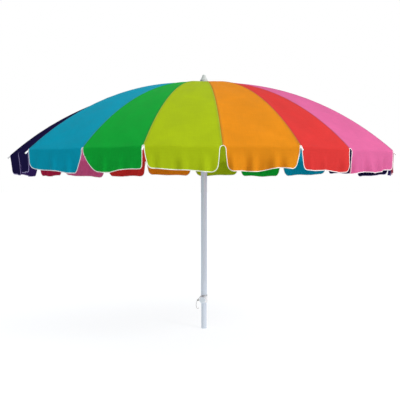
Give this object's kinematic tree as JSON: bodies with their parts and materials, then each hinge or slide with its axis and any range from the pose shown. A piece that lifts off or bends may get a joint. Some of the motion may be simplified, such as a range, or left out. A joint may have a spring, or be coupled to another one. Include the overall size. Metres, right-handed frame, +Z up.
{
  "type": "beach umbrella",
  "caption": "Beach umbrella: domed panelled canopy with a scalloped valance on folding ribs, a sliding runner, and a telescoping pole with a clamp knob.",
  "frame": {"origin": "pole axis at the lower tube's foot, where the tube stands in its base", "axes": "+Z up the pole; rib 1 points along -Y, ribs numbered anticlockwise from above"},
  "size_m": [1.8964, 1.9934, 1.31],
  "materials": {
    "tube": "satin light grey paint",
    "steel": "plain steel",
    "rib": "white painted steel wire",
    "fittings": "moulded white plastic",
    "finial": "smooth light grey plastic",
    "knob": "smooth white plastic",
    "cord": "twisted light grey cord",
    "cloth_green": "woven, water-repellent",
    "cloth_lime": "woven, water-repellent",
    "cloth_orange": "woven, water-repellent",
    "cloth_red": "woven, water-repellent",
    "cloth_pink": "woven, water-repellent",
    "cloth_crimson": "woven, water-repellent",
    "cloth_purple": "woven, water-repellent",
    "cloth_navy": "woven, water-repellent",
    "cloth_indigo": "woven, water-repellent",
    "cloth_teal": "woven, water-repellent"
  },
  "bodies": {
    "lower_pole": {"lower_tube": "tube", "end_plug": "fittings"},
    "upper_pole": {"upper_tube": "tube", "collar": "fittings", "crown": "fittings", "finial": "finial", "tie_cord": "cord"},
    "clamp_screw": {"knob": "knob"},
    "runner": {"runner": "fittings"},
    "runner_button": {"runner_button": "steel"},
    "rib_1": {"rib_1": "rib", "panel_1a": "cloth_green", "panel_1b": "cloth_lime"},
    "stretcher_1": {"stretcher_1": "rib"},
    "valance_1": {"valance_1": "cloth_lime"},
    "rib_2": {"rib_2": "rib", "panel_2a": "cloth_orange", "panel_2b": "cloth_red"},
    "stretcher_2": {"stretcher_2": "rib"},
    "valance_2": {"valance_2": "cloth_red"},
    "rib_3": {"rib_3": "rib", "panel_3a": "cloth_pink", "panel_3b": "cloth_crimson"},
    "stretcher_3": {"stretcher_3": "rib"},
    "valance_3": {"valance_3": "cloth_crimson"},
    "rib_4": {"rib_4": "rib", "panel_4a": "cloth_purple", "panel_4b": "cloth_navy"},
    "stretcher_4": {"stretcher_4": "rib"},
    "valance_4": {"valance_4": "cloth_navy"},
    "rib_5": {"rib_5": "rib", "panel_5a": "cloth_indigo", "panel_5b": "cloth_teal"},
    "stretcher_5": {"stretcher_5": "rib"},
    "valance_5": {"valance_5": "cloth_teal"},
    "rib_6": {"rib_6": "rib", "panel_6a": "cloth_green", "panel_6b": "cloth_lime"},
    "stretcher_6": {"stretcher_6": "rib"},
    "valance_6": {"valance_6": "cloth_lime"},
    "rib_7": {"rib_7": "rib", "panel_7a": "cloth_orange", "panel_7b": "cloth_red"},
    "stretcher_7": {"stretcher_7": "rib"},
    "valance_7": {"valance_7": "cloth_red"},
    "rib_8": {"rib_8": "rib", "panel_8a": "cloth_pink", "panel_8b": "cloth_crimson"},
    "stretcher_8": {"stretcher_8": "rib"},
    "valance_8": {"valance_8": "cloth_crimson"},
    "rib_9": {"rib_9": "rib", "panel_9a": "cloth_purple", "panel_9b": "cloth_navy"},
    "stretcher_9": {"stretcher_9": "rib"},
    "valance_9": {"valance_9": "cloth_navy"},
    "rib_10": {"rib_10": "rib", "panel_10a": "cloth_indigo", "panel_10b": "cloth_teal"},
    "stretcher_10": {"stretcher_10": "rib"},
    "valance_10": {"valance_10": "cloth_teal"}
  },
  "joints": [
    {"name": "pole_extend", "type": "slide", "parent": "lower_pole", "child": "upper_pole", "axis": [0, 0, 1], "range_m": [0, 0.75]},
    {"name": "clamp_turn", "type": "hinge", "parent": "upper_pole", "child": "clamp_screw", "pos_m": [0, -0.03, 0.152], "axis": [0, -1, 0], "range_deg": [0, 360]},
    {"name": "rib_1_fold", "type": "hinge", "parent": "upper_pole", "child": "rib_1", "pos_m": [0, -0.024, 1.253], "axis": [1, 0, 0], "range_deg": [0, 67.5], "deforming": ["panel_1a", "panel_1b"]},
    {"name": "rib_2_fold", "type": "hinge", "parent": "upper_pole", "child": "rib_2", "pos_m": [0.01411, -0.01942, 1.253], "axis": [0.809, 0.5878, 0], "range_deg": [0, 67.5], "deforming": ["panel_2a", "panel_2b"]},
    {"name": "rib_3_fold", "type": "hinge", "parent": "upper_pole", "child": "rib_3", "pos_m": [0.02283, -0.00742, 1.253], "axis": [0.309, 0.9511, 0], "range_deg": [0, 67.5], "deforming": ["panel_3a", "panel_3b"]},
    {"name": "rib_4_fold", "type": "hinge", "parent": "upper_pole", "child": "rib_4", "pos_m": [0.02283, 0.00742, 1.253], "axis": [-0.309, 0.9511, 0], "range_deg": [0, 67.5], "deforming": ["panel_4a", "panel_4b"]},
    {"name": "rib_5_fold", "type": "hinge", "parent": "upper_pole", "child": "rib_5", "pos_m": [0.01411, 0.01942, 1.253], "axis": [-0.809, 0.5878, 0], "range_deg": [0, 67.5], "deforming": ["panel_5a", "panel_5b"]},
    {"name": "rib_6_fold", "type": "hinge", "parent": "upper_pole", "child": "rib_6", "pos_m": [0, 0.024, 1.253], "axis": [-1, 0, 0], "range_deg": [0, 67.5], "deforming": ["panel_6a", "panel_6b"]},
    {"name": "rib_7_fold", "type": "hinge", "parent": "upper_pole", "child": "rib_7", "pos_m": [-0.01411, 0.01942, 1.253], "axis": [-0.809, -0.5878, 0], "range_deg": [0, 67.5], "deforming": ["panel_7a", "panel_7b"]},
    {"name": "rib_8_fold", "type": "hinge", "parent": "upper_pole", "child": "rib_8", "pos_m": [-0.02283, 0.00742, 1.253], "axis": [-0.309, -0.9511, 0], "range_deg": [0, 67.5], "deforming": ["panel_8a", "panel_8b"]},
    {"name": "rib_9_fold", "type": "hinge", "parent": "upper_pole", "child": "rib_9", "pos_m": [-0.02283, -0.00742, 1.253], "axis": [0.309, -0.9511, 0], "range_deg": [0, 67.5], "deforming": ["panel_9a", "panel_9b"]},
    {"name": "rib_10_fold", "type": "hinge", "parent": "upper_pole", "child": "rib_10", "pos_m": [-0.01411, -0.01942, 1.253], "axis": [0.809, -0.5878, 0], "range_deg": [0, 67.5], "deforming": ["panel_10a", "panel_10b"]},
    {"name": "stretcher_1_turn", "type": "hinge", "parent": "rib_1", "child": "stretcher_1", "pos_m": [0, -0.428, 1.18701], "axis": [1, 0, 0], "range_deg": [-115.48, 0]},
    {"name": "stretcher_2_turn", "type": "hinge", "parent": "rib_2", "child": "stretcher_2", "pos_m": [0.25157, -0.34626, 1.18701], "axis": [0.809, 0.5878, 0], "range_deg": [-115.48, 0]},
    {"name": "stretcher_3_turn", "type": "hinge", "parent": "rib_3", "child": "stretcher_3", "pos_m": [0.40705, -0.13226, 1.18701], "axis": [0.309, 0.9511, 0], "range_deg": [-115.48, 0]},
    {"name": "stretcher_4_turn", "type": "hinge", "parent": "rib_4", "child": "stretcher_4", "pos_m": [0.40705, 0.13226, 1.18701], "axis": [-0.309, 0.9511, 0], "range_deg": [-115.48, 0]},
    {"name": "stretcher_5_turn", "type": "hinge", "parent": "rib_5", "child": "stretcher_5", "pos_m": [0.25157, 0.34626, 1.18701], "axis": [-0.809, 0.5878, 0], "range_deg": [-115.48, 0]},
    {"name": "stretcher_6_turn", "type": "hinge", "parent": "rib_6", "child": "stretcher_6", "pos_m": [0, 0.428, 1.18701], "axis": [-1, 0, 0], "range_deg": [-115.48, 0]},
    {"name": "stretcher_7_turn", "type": "hinge", "parent": "rib_7", "child": "stretcher_7", "pos_m": [-0.25157, 0.34626, 1.18701], "axis": [-0.809, -0.5878, 0], "range_deg": [-115.48, 0]},
    {"name": "stretcher_8_turn", "type": "hinge", "parent": "rib_8", "child": "stretcher_8", "pos_m": [-0.40705, 0.13226, 1.18701], "axis": [-0.309, -0.9511, 0], "range_deg": [-115.48, 0]},
    {"name": "stretcher_9_turn", "type": "hinge", "parent": "rib_9", "child": "stretcher_9", "pos_m": [-0.40705, -0.13226, 1.18701], "axis": [0.309, -0.9511, 0], "range_deg": [-115.48, 0]},
    {"name": "stretcher_10_turn", "type": "hinge", "parent": "rib_10", "child": "stretcher_10", "pos_m": [-0.25157, -0.34626, 1.18701], "axis": [0.809, -0.5878, 0], "range_deg": [-115.48, 0]},
    {"name": "valance_1_hang", "type": "hinge", "parent": "rib_1", "child": "valance_1", "pos_m": [0, -0.98, 0.895], "axis": [1, 0, 0], "range_deg": [-67.7, 0], "deforming": ["valance_1"]},
    {"name": "valance_2_hang", "type": "hinge", "parent": "rib_2", "child": "valance_2", "pos_m": [0.57603, -0.79284, 0.895], "axis": [0.809, 0.5878, 0], "range_deg": [-67.7, 0], "deforming": ["valance_2"]},
    {"name": "valance_3_hang", "type": "hinge", "parent": "rib_3", "child": "valance_3", "pos_m": [0.93203, -0.30284, 0.895], "axis": [0.309, 0.9511, 0], "range_deg": [-67.7, 0], "deforming": ["valance_3"]},
    {"name": "valance_4_hang", "type": "hinge", "parent": "rib_4", "child": "valance_4", "pos_m": [0.93203, 0.30284, 0.895], "axis": [-0.309, 0.9511, 0], "range_deg": [-67.7, 0], "deforming": ["valance_4"]},
    {"name": "valance_5_hang", "type": "hinge", "parent": "rib_5", "child": "valance_5", "pos_m": [0.57603, 0.79284, 0.895], "axis": [-0.809, 0.5878, 0], "range_deg": [-67.7, 0], "deforming": ["valance_5"]},
    {"name": "valance_6_hang", "type": "hinge", "parent": "rib_6", "child": "valance_6", "pos_m": [0, 0.98, 0.895], "axis": [-1, 0, 0], "range_deg": [-67.7, 0], "deforming": ["valance_6"]},
    {"name": "valance_7_hang", "type": "hinge", "parent": "rib_7", "child": "valance_7", "pos_m": [-0.57603, 0.79284, 0.895], "axis": [-0.809, -0.5878, 0], "range_deg": [-67.7, 0], "deforming": ["valance_7"]},
    {"name": "valance_8_hang", "type": "hinge", "parent": "rib_8", "child": "valance_8", "pos_m": [-0.93203, 0.30284, 0.895], "axis": [-0.309, -0.9511, 0], "range_deg": [-67.7, 0], "deforming": ["valance_8"]},
    {"name": "valance_9_hang", "type": "hinge", "parent": "rib_9", "child": "valance_9", "pos_m": [-0.93203, -0.30284, 0.895], "axis": [0.309, -0.9511, 0], "range_deg": [-67.7, 0], "deforming": ["valance_9"]},
    {"name": "valance_10_hang", "type": "hinge", "parent": "rib_10", "child": "valance_10", "pos_m": [-0.57603, -0.79284, 0.895], "axis": [0.809, -0.5878, 0], "range_deg": [-67.7, 0], "deforming": ["valance_10"]},
    {"name": "runner_slide", "type": "slide", "parent": "upper_pole", "child": "runner", "axis": [0, 0, 1], "range_m": [-0.5539, 0]},
    {"name": "button_press", "type": "slide", "parent": "runner", "child": "runner_button", "axis": [0, 1, 0], "range_m": [0, 0.003], "stiffness_N_per_m": 900, "springref_m": -0.002}
  ],
  "couplings": [
    {"joint": "rib_2_fold", "follows": "rib_1_fold", "ratio": 1},
    {"joint": "rib_3_fold", "follows": "rib_1_fold", "ratio": 1},
    {"joint": "rib_4_fold", "follows": "rib_1_fold", "ratio": 1},
    {"joint": "rib_5_fold", "follows": "rib_1_fold", "ratio": 1},
    {"joint": "rib_6_fold", "follows": "rib_1_fold", "ratio": 1},
    {"joint": "rib_7_fold", "follows": "rib_1_fold", "ratio": 1},
    {"joint": "rib_8_fold", "follows": "rib_1_fold", "ratio": 1},
    {"joint": "rib_9_fold", "follows": "rib_1_fold", "ratio": 1},
    {"joint": "rib_10_fold", "follows": "rib_1_fold", "ratio": 1},
    {"joint": "stretcher_1_turn", "follows": "rib_1_fold", "ratio": -1.7078},
    {"joint": "stretcher_2_turn", "follows": "rib_1_fold", "ratio": -1.7078},
    {"joint": "stretcher_3_turn", "follows": "rib_1_fold", "ratio": -1.7078},
    {"joint": "stretcher_4_turn", "follows": "rib_1_fold", "ratio": -1.7078},
    {"joint": "stretcher_5_turn", "follows": "rib_1_fold", "ratio": -1.7078},
    {"joint": "stretcher_6_turn", "follows": "rib_1_fold", "ratio": -1.7078},
    {"joint": "stretcher_7_turn", "follows": "rib_1_fold", "ratio": -1.7078},
    {"joint": "stretcher_8_turn", "follows": "rib_1_fold", "ratio": -1.7078},
    {"joint": "stretcher_9_turn", "follows": "rib_1_fold", "ratio": -1.7078},
    {"joint": "stretcher_10_turn", "follows": "rib_1_fold", "ratio": -1.7078},
    {"joint": "valance_1_hang", "follows": "rib_1_fold", "ratio": -1},
    {"joint": "valance_2_hang", "follows": "rib_1_fold", "ratio": -1},
    {"joint": "valance_3_hang", "follows": "rib_1_fold", "ratio": -1},
    {"joint": "valance_4_hang", "follows": "rib_1_fold", "ratio": -1},
    {"joint": "valance_5_hang", "follows": "rib_1_fold", "ratio": -1},
    {"joint": "valance_6_hang", "follows": "rib_1_fold", "ratio": -1},
    {"joint": "valance_7_hang", "follows": "rib_1_fold", "ratio": -1},
    {"joint": "valance_8_hang", "follows": "rib_1_fold", "ratio": -1},
    {"joint": "valance_9_hang", "follows": "rib_1_fold", "ratio": -1},
    {"joint": "valance_10_hang", "follows": "rib_1_fold", "ratio": -1},
    {"joint": "runner_slide", "follows": "rib_1_fold", "m_per_rad": -0.46933}
  ]
}
